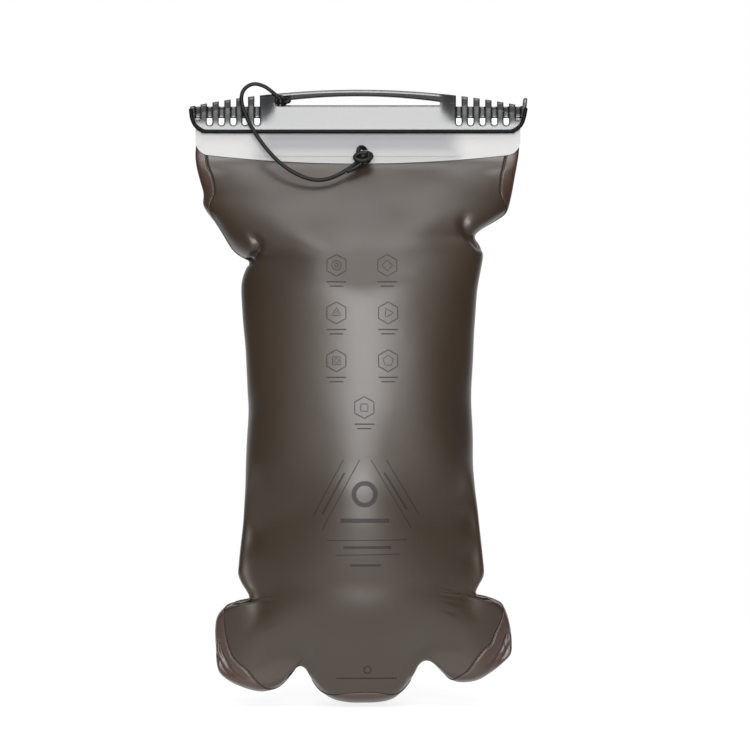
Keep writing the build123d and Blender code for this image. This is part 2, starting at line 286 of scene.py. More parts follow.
def bag_mesh():
    """The whole bag as one closed skin below its mouth, its faces marked as front, gusset and back."""
    rays = bag_rays()
    count, steps = rays.shape[:2]
    points, faces, marks = [], [], []
    for side in (1, -1):
        start = len(points)
        for ray in rays:
            points += [place(x, side * y, z) for x, y, z in ray]
        for i in range(count - 1):
            for j in range(steps - 1):
                corner = [start + i * steps + j, start + i * steps + j + 1,
                          start + (i + 1) * steps + j + 1, start + (i + 1) * steps + j]
                faces.append(corner if side < 0 else corner[::-1])
                marks.append(GUSSET if j >= PANEL_STEPS else FRONT if side > 0 else BACK)
    obj = mesh_object("bag", points, faces)
    obj.data.polygons.foreach_set("material_index", marks)
    work = bmesh.new()
    work.from_mesh(obj.data)
    bmesh.ops.remove_doubles(work, verts=work.verts, dist=1e-6)
    bmesh.ops.dissolve_degenerate(work, edges=work.edges, dist=1e-6)
    bmesh.ops.recalc_face_normals(work, faces=work.faces)
    work.to_mesh(obj.data)
    work.free()
    return obj


def neighbour_mean(values, links, share):
    """The mean of each point's linked neighbours' values."""
    total = np.empty_like(values)
    for axis in range(3):
        forward = np.bincount(links[:, 0], values[links[:, 1], axis], len(values))
        total[:, axis] = forward + np.bincount(links[:, 1], values[links[:, 0], axis], len(values))
    return total / share[:, None]


def depth_grid(tree, side, xs, zs):
    """How far one face of the bag stands from its middle, over a grid of places in millimetres."""
    found = np.zeros((len(xs), len(zs)))
    for i, x in enumerate(xs):
        for j, z in enumerate(zs):
            hit = tree.ray_cast(Vector(place(x, side * 90, z)), Vector((0, -side, 0)))[0]
            if hit is not None:
                found[i, j] = max(0.0, side * (hit.y - MID_Y) / MM)
    return found


def sampled(grid, xs, zs, x, z):
    """The grid's value at each place, between its four nearest corners."""
    step = xs[1] - xs[0]
    i, j = (np.clip((v - s[0]) / step, 0, len(s) - 1.001) for v, s in ((x, xs), (z, zs)))
    a, b = i.astype(int), j.astype(int)
    u, v = i - a, j - b
    near = grid[a, b] * (1 - u) + grid[a + 1, b] * u
    far = grid[a, b + 1] * (1 - u) + grid[a + 1, b + 1] * u
    return near * (1 - v) + far * v


FOOT_RIM = 14.0  # depth from which the film over the base is free to bulge
FOOT_BULGE = 0.0160  # its curvature under pressure, per millimetre
FOOT_GRID = 1.5  # spacing of the grid that the foot is relaxed on
FOOT_ROUNDS = 2500  # rounds of relaxing
FOOT_HALF_WIDTH = 64.0  # from the spine, where the side lobes begin
FOOT_FILL = 0.1  # how much fuller the front of the foot stands than the back
LOBE_TOP = 66.0
LOBE_DEPTH = 15.5  # half depth in the middle of a side lobe


def soft_least(first, second, blur):
    """The lesser of two values, with the corner between them rounded over about blur."""
    return -blur * np.log(np.exp(-first / blur) + np.exp(-second / blur))


def blow_foot(obj):
    """Reshapes the film over the base as one blown skin, so that the lobes run smoothly into the body."""
    points = coordinates(obj.data)
    x, z = points[:, 0] / MM, (points[:, 2] - BASE_Z) / MM
    tree = BVHTree.FromPolygons([Vector(p) for p in points], [tuple(f.vertices) for f in obj.data.polygons])
    xs, zs = np.arange(-93, 94.5, FOOT_GRID), np.arange(-3, 151.5, FOOT_GRID)
    for side in (-1, 1):
        blown = depth_grid(tree, side, xs, zs)
        free = blown > FOOT_RIM
        free[:, -1] = free[:, 0] = False
        for _ in range(FOOT_ROUNDS):
            mean = np.zeros_like(blown)
            mean[1:-1, 1:-1] = (blown[:-2, 1:-1] + blown[2:, 1:-1] + blown[1:-1, :-2] + blown[1:-1, 2:]) / 4
            blown = np.where(free, mean + FOOT_BULGE * FOOT_GRID**2 / 4, blown)
        inward = np.clip(FOOT_HALF_WIDTH - np.abs(xs - SPINE_X), 0, None)[:, None]
        cap = FOOT_RIM + 0.5 + inward + 0.17 * np.clip(zs - 14, 0, 60)
        blown = np.where(free, np.maximum(soft_least(blown, cap, 1.5), FOOT_RIM), blown)
        depth = side * (points[:, 1] - MID_Y) / MM
        share = smoothstep(140, 100, z) * (depth > FOOT_RIM - 1)
        depth = depth * (1 - share) + sampled(blown, xs, zs, x, z) * share
        depth = depth * (1 + 0.0065 * (z - 36) * smoothstep(70, 40, z))
        if side < 0:
            depth = depth * (1 + FOOT_FILL * smoothstep(116, 76, z) * smoothstep(12, 42, z))
        away = np.abs(x - SPINE_X)
        lobe = LOBE_DEPTH + 0.1 * (z - 30) - 0.45 * (away - 62)
        thinner = np.maximum(soft_least(depth, lobe, 1.2), 1)
        depth = np.where((away > 50) & (z < LOBE_TOP) & (depth > 1), thinner, depth)
        points[:, 1] = np.where(depth > 0, MID_Y + side * depth * MM, points[:, 1])
    set_coordinates(obj.data, points)


def seat_port(obj):
    """Flattens the back film under the port's flange."""
    points = coordinates(obj.data)
    away = np.hypot(points[:, 0] - PORT_X, points[:, 2] - PORT_Z) / MM
    back = points[:, 1] > MID_Y + 15 * MM
    share = smoothstep(PORT_RADIUS / MM + 26, PORT_RADIUS / MM + 1, away) * back
    points[:, 1] = points[:, 1] * (1 - share) + PORT_LOW.y * share
    set_coordinates(obj.data, points)


MOUTH_HELD_FROM = 299  # height above which the film is welded to the header


def inflate(obj, frames, cap):
    """Blows the film up as cloth, its outline and mouth held, and moves no point by more than cap."""
    before = coordinates(obj.data)
    height = (before[:, 2] - BASE_Z) / MM
    depth = np.abs(before[:, 1] - MID_Y) / MM
    held = (depth < 0.3) | (height > MOUTH_HELD_FROM)
    from_port = np.hypot(before[:, 0] - PORT_X, before[:, 2] - PORT_Z)
    near_port = (before[:, 1] > MID_Y) & (from_port < PORT_RADIUS)
    group = obj.vertex_groups.new(name="held")
    group.add([int(i) for i in np.flatnonzero(held | near_port)], 1.0, "REPLACE")
    cloth = obj.modifiers.new("inflate", "CLOTH")
    settings = cloth.settings
    settings.quality = 5
    settings.mass = 0.15
    settings.tension_stiffness = 30
    settings.compression_stiffness = 30
    settings.shear_stiffness = 10
    settings.bending_stiffness = 2.0
    settings.tension_damping = 10
    settings.compression_damping = 10
    settings.air_damping = 5
    settings.use_pressure = True
    settings.uniform_pressure_force = 6
    settings.shrink_min = -0.015
    settings.effector_weights.gravity = 0
    settings.vertex_group_mass = "held"
    settings.pin_stiffness = 1
    cloth.collision_settings.use_collision = False
    cloth.point_cache.frame_start = 1
    cloth.point_cache.frame_end = frames
    for number in range(1, frames + 1):
        SCENE.frame_set(number)
    baked(obj)
    after = coordinates(obj.data)
    shift = after - before
    links = np.empty(len(obj.data.edges) * 2, int)
    obj.data.edges.foreach_get("vertices", links)
    links = links.reshape(-1, 2)
    share = np.bincount(links.ravel(), minlength=len(shift))
    for _ in range(12):
        shift = np.where(held[:, None], shift, 0.4 * shift + 0.6 * neighbour_mean(shift, links, share))
    foot = smoothstep(125, 75, height) * (0.85 + 0.15 * smoothstep(18, 26, depth))
    shoulders = 0.5 * smoothstep(250, 280, height)
    shift *= (1 - foot - shoulders)[:, None]
    length = np.linalg.norm(shift, axis=1)
    factor = np.minimum(1, cap * MM / np.maximum(length, 1e-9))
    print("inflate moved", round(float(length.max() / MM), 2), "mean", round(float(length.mean() / MM), 2))
    set_coordinates(obj.data, before + shift * factor[:, None])
    obj.vertex_groups.clear()
    SCENE.frame_set(1)


bag = bag_mesh()
blow_foot(bag)
inflate(bag, 20, 8)
smooth = bag.modifiers.new("smooth", "SUBSURF")
smooth.levels = smooth.render_levels = 1
baked(bag)


def fold(obj, line, depth, width):
    """Presses a sharp crease into the front film along a line, fading out at the line's last point."""
    points = coordinates(obj.data)
    normals = np.empty(len(obj.data.vertices) * 3)
    obj.data.vertices.foreach_get("normal", normals)
    flat = (points[:, [0, 2]] - (0, BASE_Z)) / MM
    front = points[:, 1] < MID_Y - 2 * MM
    push = np.zeros(len(points))
    line = catmull_rom(line, [8] * (len(line) - 1))
    for step, (a, b) in enumerate(zip(line, line[1:])):
        along = np.clip(((flat - a) @ (b - a)) / ((b - a) @ (b - a)), 0, 1)
        away = np.linalg.norm(flat - a - along[:, None] * (b - a), axis=1)
        fade = math.sin(math.pi / 2 * min(1, 1.6 * (1 - step / (len(line) - 1))))
        push = np.maximum(push, fade * np.exp(-((away / width) ** 2)))
    points -= normals.reshape(-1, 3) * (depth * MM * push * front)[:, None]
    set_coordinates(obj.data, points)


# The folds where the shoulders bend into the body, from the outline inwards, and the finer ones in the
# gusset of the two outer lobes: each with its depth and width.
FOLDS = [
    ([(-61.5, 248.9), (-57.2, 252.6), (-56.0, 258.4), (-59.2, 263.2)], 3.8, 1.6),
    ([(68.2, 256.9), (64.4, 261.2), (60.3, 266.0), (59.2, 270.4), (61.0, 274.4)], 2.4, 2.3),
    ([(-78.6, 34.5), (-76.6, 27.5), (-71.0, 19.4), (-63.7, 14.6)], 2.2, 1.1),
    ([(-79.6, 27.0), (-76.4, 20.6), (-70.0, 15.0)], 1.8, 1.0),
    ([(84.6, 40.0), (82.9, 34.7), (78.9, 27.5), (72.4, 21.0)], 2.2, 1.1),
    ([(85.4, 33.0), (81.6, 25.6), (75.0, 19.4)], 1.8, 1.0),
]
for line, depth, width in FOLDS:
    fold(bag, line, depth, width)
seat_port(bag)


# ---- Materials -----------------------------------------------------------------------------------


def add(tree, kind, inputs=None, **settings):
    """Adds a node, with its settings, and its inputs given as values or as other nodes' outputs."""
    made = tree.nodes.new(kind)
    for key, value in settings.items():
        setattr(made, key, value)
    for key, value in (inputs or {}).items():
        if isinstance(value, bpy.types.NodeSocket):
            tree.links.new(value, made.inputs[key])
        else:
            made.inputs[key].default_value = value
    return made


def material(name, **values):
    """A material with one Principled shader, and the shader's own socket values."""
    made = bpy.data.materials.new(name)
    made.use_nodes = True
    shader = made.node_tree.nodes["Principled BSDF"]
    for key, value in values.items():
        shader.inputs[key.replace("_", " ")].default_value = value
    return made, made.node_tree, shader


def ripples(tree, shader, scale_mm, height_mm, detail=2.0, strength=1.0):
    """Slight unevenness of a surface, from noise of the given size."""
    where = add(tree, "ShaderNodeTexCoord").outputs["Object"]
    noise = add(tree, "ShaderNodeTexNoise", {"Vector": where, "Scale": 1 / (scale_mm * MM), "Detail": detail})
    bump = add(tree, "ShaderNodeBump", {
        "Height": noise.outputs["Fac"], "Distance": height_mm * MM, "Strength": strength,
    })
    tree.links.new(bump.outputs["Normal"], shader.inputs["Normal"])
    return where, noise


def film(name, dark, light):
    """Smoked thermoplastic polyurethane, blow-extruded: a deep brown with a soft, slightly uneven gloss."""
    made, tree, shader = material(name, Roughness=0.38, IOR=1.5)
    where, _ = ripples(tree, shader, 28, 0.25, 3.0)
    cloud = add(tree, "ShaderNodeTexNoise", {"Vector": where, "Scale": 1 / (45 * MM), "Detail": 2.0})
    tint = add(tree, "ShaderNodeMix", {
        "Factor": cloud.outputs["Fac"], "A": colour(dark), "B": colour(light),
    }, data_type="RGBA")
    tree.links.new(tint.outputs["Result"], shader.inputs["Base Color"])
    return made


PANEL_FILM = film("smoked polyurethane panel film", "2a211a", "33291f")
GUSSET_FILM = film("smoked polyurethane gusset film", "30221b", "402f26")


def frosted_plastic(name, shade):
    """Natural polypropylene, moulded with a matt face: milky, with a faint sheen."""
    made, tree, shader = material(name, Roughness=0.42, IOR=1.49)
    shader.inputs["Subsurface Weight"].default_value = 0.15
    shader.inputs["Subsurface Scale"].default_value = 1.5 * MM
    shader.inputs["Base Color"].default_value = colour(shade)
    ripples(tree, shader, 9, 0.06)
    return made


def header_plastic():
    """The same polypropylene over smoked film: greyer in the pad, where it is thin, and milkier round it."""
    made = frosted_plastic("frosted polypropylene header", "807f80")
    tree = made.node_tree
    shader = tree.nodes["Principled BSDF"]
    where = add(tree, "ShaderNodeTexCoord").outputs["Object"]
    parts = add(tree, "ShaderNodeSeparateXYZ", {"Vector": where}).outputs
    across = add(tree, "ShaderNodeMath", {0: parts["X"]}, operation="ABSOLUTE").outputs[0]
    ends = add(tree, "ShaderNodeMapRange", {
        "Value": across, "From Min": 48 * MM, "From Max": 62 * MM,
    }, interpolation_type="SMOOTHSTEP").outputs["Result"]
    below = add(tree, "ShaderNodeMapRange", {
        "Value": parts["Z"], "From Min": BASE_Z + 314 * MM, "From Max": BASE_Z + 309 * MM, "To Max": 0.5,
    }, interpolation_type="SMOOTHSTEP").outputs["Result"]
    milky = add(tree, "ShaderNodeMath", {0: ends, 1: below}, operation="MAXIMUM").outputs[0]
    tint = add(tree, "ShaderNodeMix", {
        "Factor": milky, "A": colour("707073"), "B": colour("a09f9d"),
    }, data_type="RGBA")
    tree.links.new(tint.outputs["Result"], shader.inputs["Base Color"])
    return made


HEADER_PLASTIC = header_plastic()
RAIL_PLASTIC = frosted_plastic("moulded polypropylene rail", "dfe2e4")


CROWN_RADIUS = 0.47  # of the closure's upper edge


def satin_plastic(name, shade, roughness=0.3):
    """Glass-filled nylon from a fine-grained mould: smooth to the eye, with a satin gloss."""
    made, tree, shader = material(name, Roughness=roughness, IOR=1.53)
    shader.inputs["Base Color"].default_value = colour(shade)
    where = add(tree, "ShaderNodeTexCoord").outputs["Object"]
    grain = add(tree, "ShaderNodeTexNoise", {"Vector": where, "Scale": 1 / (0.6 * MM), "Detail": 2.0})
    bump = add(tree, "ShaderNodeBump", {
        "Height": grain.outputs["Fac"], "Distance": 0.01 * MM, "Strength": 0.6,
    })
    tree.links.new(bump.outputs["Normal"], shader.inputs["Normal"])
    return made


def closure_plastic():
    """Glass-filled nylon, satin and near black.

    The rounded edges and the shallow pad between the grips are relief in the shading only. The IOR is a
    little above nylon's 1.53, set for a brighter face.
    """
    made, tree, shader = material("satin nylon closure", Roughness=0.27, IOR=1.6)
    shader.inputs["Base Color"].default_value = colour("15181b")
    edges = add(tree, "ShaderNodeBevel", {"Radius": 1.6 * MM}, samples=12)
    where = add(tree, "ShaderNodeTexCoord").outputs["Object"]
    parts = add(tree, "ShaderNodeSeparateXYZ", {"Vector": where}).outputs
    across = add(tree, "ShaderNodeMath", {0: parts["X"]}, operation="ABSOLUTE").outputs[0]
    ends = add(tree, "ShaderNodeMapRange", {
        "Value": across, "From Min": 45 * MM, "From Max": 57 * MM, "To Min": 0.0, "To Max": -2.4,
    }, interpolation_type="SMOOTHSTEP").outputs["Result"]
    upper = add(tree, "ShaderNodeMapRange", {
        "Value": parts["Z"], "From Min": BASE_Z + 325 * MM, "From Max": BASE_Z + 342 * MM,
    }, interpolation_type="SMOOTHSTEP").outputs["Result"]
    square = add(tree, "ShaderNodeMath", {0: parts["X"], 1: parts["X"]}, operation="MULTIPLY").outputs[0]
    level = add(tree, "ShaderNodeMath", {
        0: square, 1: 1 / (2 * CROWN_RADIUS), 2: parts["Z"],
    }, operation="MULTIPLY_ADD").outputs[0]
    overhang = add(tree, "ShaderNodeMapRange", {
        "Value": level, "From Min": BASE_Z + 340.6 * MM, "From Max": BASE_Z + 343.8 * MM, "To Max": 1.9,
    }).outputs["Result"]
    recess = add(tree, "ShaderNodeMath", {
        0: ends, 1: upper, 2: overhang,
    }, operation="MULTIPLY_ADD").outputs[0]
    grain = add(tree, "ShaderNodeTexNoise", {"Vector": where, "Scale": 1 / (0.6 * MM), "Detail": 2.0})
    height = add(tree, "ShaderNodeMath", {
        0: grain.outputs["Fac"], 1: 0.006, 2: recess,
    }, operation="MULTIPLY_ADD")
    bump = add(tree, "ShaderNodeBump", {
        "Height": height.outputs[0], "Distance": MM, "Normal": edges.outputs["Normal"],
    })
    tree.links.new(bump.outputs["Normal"], shader.inputs["Normal"])
    return made


CLOSURE_PLASTIC = closure_plastic()
PORT_PLASTIC = satin_plastic("satin nylon port", "26282a", 0.35)
BUTTON_PLASTIC = satin_plastic("acetal button", "6a6d70", 0.3)
VALVE_PLASTIC = satin_plastic("natural acetal valve", "d8d8d4", 0.35)


def plain(name, shade, **values):
    made, _, shader = material(name, **values)
    shader.inputs["Base Color"].default_value = colour(shade)
    return made


# The lip's and the ink's IOR are set below the 1.5 of real rubber and ink, to keep their gloss down.
SEAL_RUBBER = plain("silicone rubber seal", "1b1b1c", Roughness=0.55)
SPRING_STEEL = plain("drawn stainless wire", "b9bbbd", Roughness=0.25, Metallic=1.0)
# Near black: painted shade under the closure's lower edge, on a real lip bead.
LIP_PAINTED_SHADE = plain("lip bead in painted shade black", "030304", Roughness=0.5, IOR=1.22)
FLANGE_FILM = film("moulded polyurethane flange", "2c2521", "3a322d")
PRINT_INK = plain("dark grey screen ink", "1c1714", Roughness=0.5, IOR=1.38)


def braided_cord():
    """Black polyester braid over an elastic core: soft, with a fine crossed weave.

    The IOR is set below polyester's, since fine fibres scatter most of the gloss.
    """
    made, tree, shader = material("black polyester braid", Roughness=0.5, IOR=1.36)
    shader.inputs["Base Color"].default_value = colour("040404")
    place_on = add(tree, "ShaderNodeUVMap", uv_map="UVMap").outputs["UV"]
    parts = add(tree, "ShaderNodeSeparateXYZ", {"Vector": place_on}).outputs
    waves = []
    for turn in (1.0, -1.0):
        slope = add(tree, "ShaderNodeMath", {
            0: parts["X"], 1: 6.0 * turn, 2: parts["Y"],
        }, operation="MULTIPLY_ADD")
        angle = add(tree, "ShaderNodeMath", {0: slope.outputs[0], 1: 2 * math.pi}, operation="MULTIPLY")
        waves.append(add(tree, "ShaderNodeMath", {0: angle.outputs[0]}, operation="SINE").outputs[0])
    weave = add(tree, "ShaderNodeMath", {0: waves[0], 1: waves[1]}, operation="MAXIMUM")
    bump = add(tree, "ShaderNodeBump", {"Height": weave.outputs[0], "Distance": 0.04 * MM})
    tree.links.new(bump.outputs["Normal"], shader.inputs["Normal"])
    return made


CORD_BRAID = braided_cord()


# ---- Film pieces ---------------------------------------------------------------------------------


HOLE_RADIUS = 12 * MM
BEAD_RADIUS = 0.45 * MM


def part_of_bag(name, mark, finish):
    """One film piece cut from the bag along its seams, with its wall."""
    obj = link_object(name, bag.data.copy())
    work = bmesh.new()
    work.from_mesh(obj.data)
    bmesh.ops.delete(work, geom=[f for f in work.faces if f.material_index != mark], context="FACES")
    if mark == BACK:
        centres = [(face, face.calc_center_median()) for face in work.faces]
        hole = [face for face, c in centres if math.dist((c.x, c.z), (PORT_X, PORT_Z)) < HOLE_RADIUS]
        bmesh.ops.delete(work, geom=hole, context="FACES")
    for face in work.faces:
        face.material_index = 0
    work.to_mesh(obj.data)
    work.free()
    obj.data.materials.clear()
    obj.data.materials.append(finish)
    wall = obj.modifiers.new("wall", "SOLIDIFY")
    wall.thickness = FILM_THICKNESS
    wall.offset = -1
    return obj


def seam_beads():
    """The welded lips that stand up along both seams."""
    pairs = {}
    for polygon in bag.data.polygons:
        for key in polygon.edge_keys:
            pairs.setdefault(key, set()).add(polygon.material_index)
    points, edges, index = [], [], {}
    for key, marks in pairs.items():
        if len(marks) < 2:
            continue
        ends = []
        for vertex in key:
            if vertex not in index:
                index[vertex] = len(points)
                points.append(bag.data.vertices[vertex].co[:])
            ends.append(index[vertex])
        edges.append(ends)
    mesh = bpy.data.meshes.new("seam_beads")
    mesh.from_pydata(points, edges, [])
    obj = link_object("seam_beads", mesh)

    tree = bpy.data.node_groups.new("bead along edges", "GeometryNodeTree")
    face = tree.interface
    face.new_socket("Geometry", in_out="INPUT", socket_type="NodeSocketGeometry")
    radius = face.new_socket("Bead radius", in_out="INPUT", socket_type="NodeSocketFloat")
    finish = face.new_socket("Finish", in_out="INPUT", socket_type="NodeSocketMaterial")
    face.new_socket("Geometry", in_out="OUTPUT", socket_type="NodeSocketGeometry")
    given = add(tree, "NodeGroupInput")
    line = add(tree, "GeometryNodeMeshToCurve", {"Mesh": given.outputs["Geometry"]})
    ring = add(tree, "GeometryNodeCurvePrimitiveCircle", {
        "Resolution": 8, "Radius": given.outputs["Bead radius"],
    })
    tube = add(tree, "GeometryNodeCurveToMesh", {
        "Curve": line.outputs["Curve"], "Profile Curve": ring.outputs["Curve"], "Fill Caps": True,
    })
    smooth_tube = add(tree, "GeometryNodeSetShadeSmooth", {0: tube.outputs["Mesh"]})
    real = add(tree, "GeometryNodeRealizeInstances", {0: smooth_tube.outputs[0]})
    finished = add(tree, "GeometryNodeSetMaterial", {
        "Geometry": real.outputs[0], "Material": given.outputs["Finish"],
    })
    out = add(tree, "NodeGroupOutput")
    tree.links.new(finished.outputs["Geometry"], out.inputs["Geometry"])

    nodes = obj.modifiers.new("bead", "NODES")
    nodes.node_group = tree
    nodes[radius.identifier] = BEAD_RADIUS
    nodes[finish.identifier] = PANEL_FILM
    baked(obj)
    return obj


front_film = part_of_bag("front_film", FRONT, PANEL_FILM)
back_film = part_of_bag("back_film", BACK, PANEL_FILM)
gusset_film = part_of_bag("gusset_film_strip", GUSSET, GUSSET_FILM)
seams = seam_beads()
for piece, slot_name, node in (
    (front_film, "body_film", "front_film_panel"),
    (back_film, "body_film", "back_film_panel"),
    (gusset_film, "gusset_film", "gusset_film"),
):
    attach(piece, "reservoir")
    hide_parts(node)
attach(seams, "reservoir")
bpy.data.objects.remove(bag)


# ---- CAD pieces that keep their shape ------------------------------------------------------------

for node, finish in {
    "front_header_plate": HEADER_PLASTIC,
    "back_header_plate": HEADER_PLASTIC,
    "front_rail": RAIL_PLASTIC,
    "back_rail": RAIL_PLASTIC,
    "slide_closure": CLOSURE_PLASTIC,
    "port_flange": FLANGE_FILM,
    "port_body": PORT_PLASTIC,
    "port_nut": PORT_PLASTIC,
    "port_gasket": SEAL_RUBBER,
    "port_seal": SEAL_RUBBER,
    "valve_poppet": VALVE_PLASTIC,
    "valve_cage": VALVE_PLASTIC,
    "valve_spring": SPRING_STEEL,
    "button_spring": SPRING_STEEL,
    "release_button": BUTTON_PLASTIC,
}.items():
    for slot in bpy.data.objects[node].material_slots:
        slot.material = finish


# The soft lip along the closure's lower edge and up round its ends, near black as painted shade under that
# edge: x and height of its line.
LIP_LINE = [
    (-94.0, 334.5), (-93.3, 329.5), (-91.4, 325.2), (-87.6, 322.5), (-83.0, 321.9), (-40.0, 321.9),
    (40.0, 321.9), (83.0, 321.9), (87.6, 322.5), (91.4, 325.2), (93.3, 329.5), (94.3, 334.5),
]


# ---- Tether --------------------------------------------------------------------------------------

# The cord's control points, in millimetres from the bag's base and middle, from its knot on the header.
ROUTE = [
    (1.0, -9.8, 305.6), (-8.0, -12.6, 297.6), (-23.5, -15.0, 292.6), (-40.5, -15.6, 300.2),
    (-53.0, -14.6, 313.2), (-61.0, -13.2, 326.2), (-65.6, -11.8, 337.0), (-65.0, -11.4, 344.6),
    (-59.2, -10.8, 348.8), (-52.4, -10.2, 347.2), (-47.0, -9.6, 343.0), (-43.6, -8.8, 339.9),
]
CORD_RADIUS = 1.1 * MM
LIP_RADIUS = 1.15 * MM
TUBE_STEP = 0.5 * MM  # between a tube's rings
BRAID_RINGS = 4  # rings to one repeat of the braid


def spline_points(route, closed=False):
    """Points along the NURBS spline with the given control points."""
    data = bpy.data.curves.new("route", "CURVE")
    data.dimensions = "3D"
    data.resolution_u = 16
    spline = data.splines.new("NURBS")
    spline.points.add(len(route) - 1)
    for point, spot in zip(spline.points, route):
        point.co = (*place(*spot), 1.0)
    spline.order_u = 3
    spline.use_endpoint_u = not closed
    spline.use_cyclic_u = closed
    obj = bpy.data.objects.new("route", data)
    SCENE.collection.objects.link(obj)
    bpy.context.view_layer.update()
    mesh = bpy.data.meshes.new_from_object(obj.evaluated_get(bpy.context.evaluated_depsgraph_get()))
    points = coordinates(mesh)
    bpy.data.objects.remove(obj)
    return points


def tube(path, radius, closed=False, sides=14):
    """Points, faces and texture places of a round tube along a path, with ends unless it is closed."""
    path = np.asarray(path)
    count = len(path)
    after, before = np.roll(path, -1, 0), np.roll(path, 1, 0)
    if not closed:
        after[-1], before[0] = path[-1], path[0]
    ways = after - before
    ways /= np.linalg.norm(ways, axis=1)[:, None]
    normal = np.cross(ways[0], (0.3, 0.5, 0.8))
    points, places = [], []
    for i in range(count):
        normal = normal - ways[i] * (normal @ ways[i])
        normal /= np.linalg.norm(normal)
        other = np.cross(ways[i], normal)
        for k in range(sides):
            turn = 2 * math.pi * k / sides
            points.append(path[i] + radius * (normal * math.cos(turn) + other * math.sin(turn)))
    faces = []
    for i in range(count if closed else count - 1):
        far = (i + 1) % count
        for k in range(sides):
            side = (k + 1) % sides
            faces.append((i * sides + k, i * sides + side, far * sides + side, far * sides + k))
            a, b = i / BRAID_RINGS, (i + 1) / BRAID_RINGS
            u, v = k / sides, (k + 1) / sides
            places += [(u, a), (v, a), (v, b), (u, b)]
    if not closed:
        faces.append(tuple(range(sides))[::-1])
        faces.append(tuple((count - 1) * sides + k for k in range(sides)))
        places += [(0.0, 0.0)] * (2 * sides)
    return points, faces, places


def evenly_spaced(path, step, closed=False):
    """The path cut again into equal steps."""
    path = np.vstack([path, path[:1]]) if closed else np.asarray(path)
    along = np.concatenate([[0], np.cumsum(np.linalg.norm(np.diff(path, axis=0), axis=1))])
    count = max(8, round(along[-1] / step))
    wanted = np.linspace(0, along[-1], count + 1)[: count if closed else count + 1]
    return np.column_stack([np.interp(wanted, along, path[:, axis]) for axis in range(3)])


def tubes(name, paths, radius, finish):
    """One object made of tubes along several paths, each given with whether it is closed."""
    points, faces, places = [], [], []
    for path, closed in paths:
        more, sides, spots = tube(evenly_spaced(path, TUBE_STEP, closed), radius, closed)
        faces += [tuple(n + len(points) for n in face) for face in sides]
        points += more
        places += spots
    obj = mesh_object(name, points, faces)
    layer = obj.data.uv_layers.new(name="UVMap")
    layer.data.foreach_set("uv", np.array(places).ravel())
    obj.data.materials.append(finish)
    return obj


def ellipse(centre, first, second, power=1.0, steps=48):
    """A closed loop about a centre with two half axes, in millimetres, squarer for a power below 1."""
    turns = np.linspace(0, 2 * math.pi, steps, endpoint=False)
    found = []
    for t in turns:
        c, s = math.cos(t), math.sin(t)
        c, s = math.copysign(abs(c) ** power, c), math.copysign(abs(s) ** power, s)
        found.append(place(*(np.array(centre) + c * np.array(first) + s * np.array(second))))
    return np.array(found)


def overhand(centre, wide, tall, deep, lean=0.0):
    """A closed overhand knot's line about a centre, in millimetres, leaning by an angle."""
    found = []
    for t in np.linspace(0, 2 * math.pi, 72, endpoint=False):
        x = wide * (math.sin(t) + 2 * math.sin(2 * t)) / 3
        z = tall * (math.cos(t) - 2 * math.cos(2 * t)) / 3
        y = -deep * math.sin(3 * t)
        found.append(place(
            centre[0] + x * math.cos(lean) - z * math.sin(lean),
            centre[1] + y,
            centre[2] + x * math.sin(lean) + z * math.cos(lean),
        ))
    return np.array(found)


def lip():
    """The bead of soft lip moulding, resting on the closure's front face; the bead is real relief, its
    near-black colour painted shade under the closure's lower edge.
    """
    node = bpy.data.objects["slide_closure"]
    tree = BVHTree.FromObject(node, bpy.context.evaluated_depsgraph_get())
    place_in = node.matrix_world.inverted()
    path, front = [], 0.0
    for x, z in catmull_rom(LIP_LINE, [6] * (len(LIP_LINE) - 1)):
        start = place_in @ Vector(place(x, -60, z))
        hit = tree.ray_cast(start, (place_in.to_3x3() @ Vector((0, 1, 0))).normalized())[0]
        if hit is not None:
            front = (node.matrix_world @ hit).y
        if front:
            path.append((x * MM, front + 0.2 * MM, BASE_Z + z * MM))
    obj = tubes("closure_lip", [(np.array(path), False)], LIP_RADIUS, LIP_PAINTED_SHADE)
    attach(obj, "closure")


lip()
HEADER_TAIL = [(4.6, -10.6, 306.6), (1.6, -11.6, 303.2), (-2.4, -12.0, 300.6), (-6.2, -12.2, 299.0)]
cord_path = evenly_spaced(spline_points(ROUTE), TUBE_STEP)
print("cord length", round(float(np.linalg.norm(np.diff(cord_path, axis=0), axis=1).sum()) / MM, 2))
cord = tubes("tether", [(spline_points(ROUTE), False)], CORD_RADIUS, CORD_BRAID)
header_knot = tubes("header_knot", [
    (ellipse((2.6, -7.7, 309.4), (2.4, 1.9, 0), (-0.5, 0, 3.5)), True),
    (ellipse((3.0, -11.2, 307.4), (4.6, 0.3, 0.5), (-0.2, 1.0, 2.2)), True),
    (overhand((4.4, -10.8, 306.9), 2.8, 2.4, 1.15, 0.6), True),
    (spline_points(HEADER_TAIL), False),
], 1.1 * CORD_RADIUS, CORD_BRAID)
closure_knot = tubes("closure_knot", [
    (overhand((-41.8, -8.3, 339.2), 3.4, 2.0, 1.05, -0.35), True),
    (ellipse((-44.6, -6.6, 339.2), (1.2, 2.6, 0.0), (0.3, 0, 1.6)), True),
], CORD_RADIUS, CORD_BRAID)
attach(header_knot, "reservoir")
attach(closure_knot, "closure")
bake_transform(cord)
for piece, node in (
    (cord, "tether_cord"), (header_knot, "tether_header_knot"), (closure_knot, "tether_closure_knot"),
):
    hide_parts(node)


# ---- Springs -------------------------------------------------------------------------------------


def live_spring(node):
    """A copy of a CAD spring, in steel, attached to the reservoir in place of the CAD one."""
    obj = link_object(node + "_coil", bpy.data.objects[node].data.copy())
    obj.data.materials.clear()
    obj.data.materials.append(SPRING_STEEL)
    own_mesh(obj)
    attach(obj, "reservoir")
    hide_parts(node)
    return obj


live_spring("valve_spring")
live_spring("button_spring")


# ---- Print on the front film ---------------------------------------------------------------------

